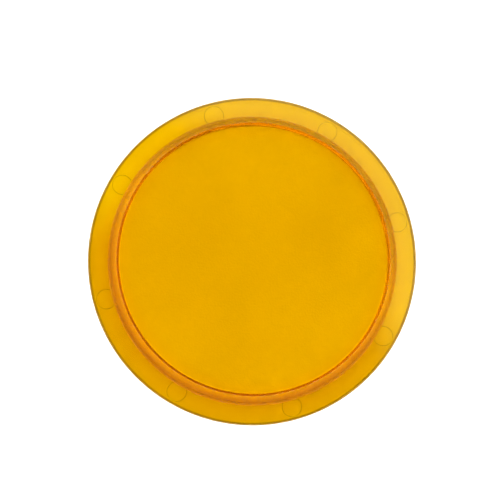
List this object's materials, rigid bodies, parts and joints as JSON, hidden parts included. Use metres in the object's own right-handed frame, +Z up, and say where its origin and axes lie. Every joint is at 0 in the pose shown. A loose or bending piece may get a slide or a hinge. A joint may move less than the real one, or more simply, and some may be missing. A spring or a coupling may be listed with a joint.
{
  "type": "raised pavement marker",
  "caption": "Low round road marker with a clear amber lens cap: flat raised top, leaning wall, thin flange, and an adhesive pad underneath.",
  "frame": {"origin": "middle of the adhesive pad's underside, the face that meets the road", "axes": "+Z up, away from the road, along the marker's axis; +X and +Y are across the disc"},
  "size_m": [0.1, 0.1, 0.0147],
  "materials": {
    "amber_plastic": "clear amber, moulded, glossy",
    "white_foam": "smooth off-white closed-cell foam",
    "prismatic_film": "silver-white microprismatic strip",
    "white_core_plastic": "white, moulded, fine satin",
    "cast_filler": "cast mineral-filled resin",
    "tan_sealant": "cured tan sealant, satin",
    "white_plate_plastic": "white, moulded, satin",
    "stainless_screw": "plain stainless steel",
    "butyl": "black tacky butyl, faintly rough"
  },
  "bodies": {
    "root": {"lens_cap": "amber_plastic", "backing_disc": "white_foam", "reflective_band": "prismatic_film", "core_body": "white_core_plastic", "core_fill": "cast_filler", "sealant_bead": "tan_sealant", "base_plate": "white_plate_plastic", "base_screws": "stainless_screw", "adhesive_pad": "butyl"}
  },
  "joints": []
}
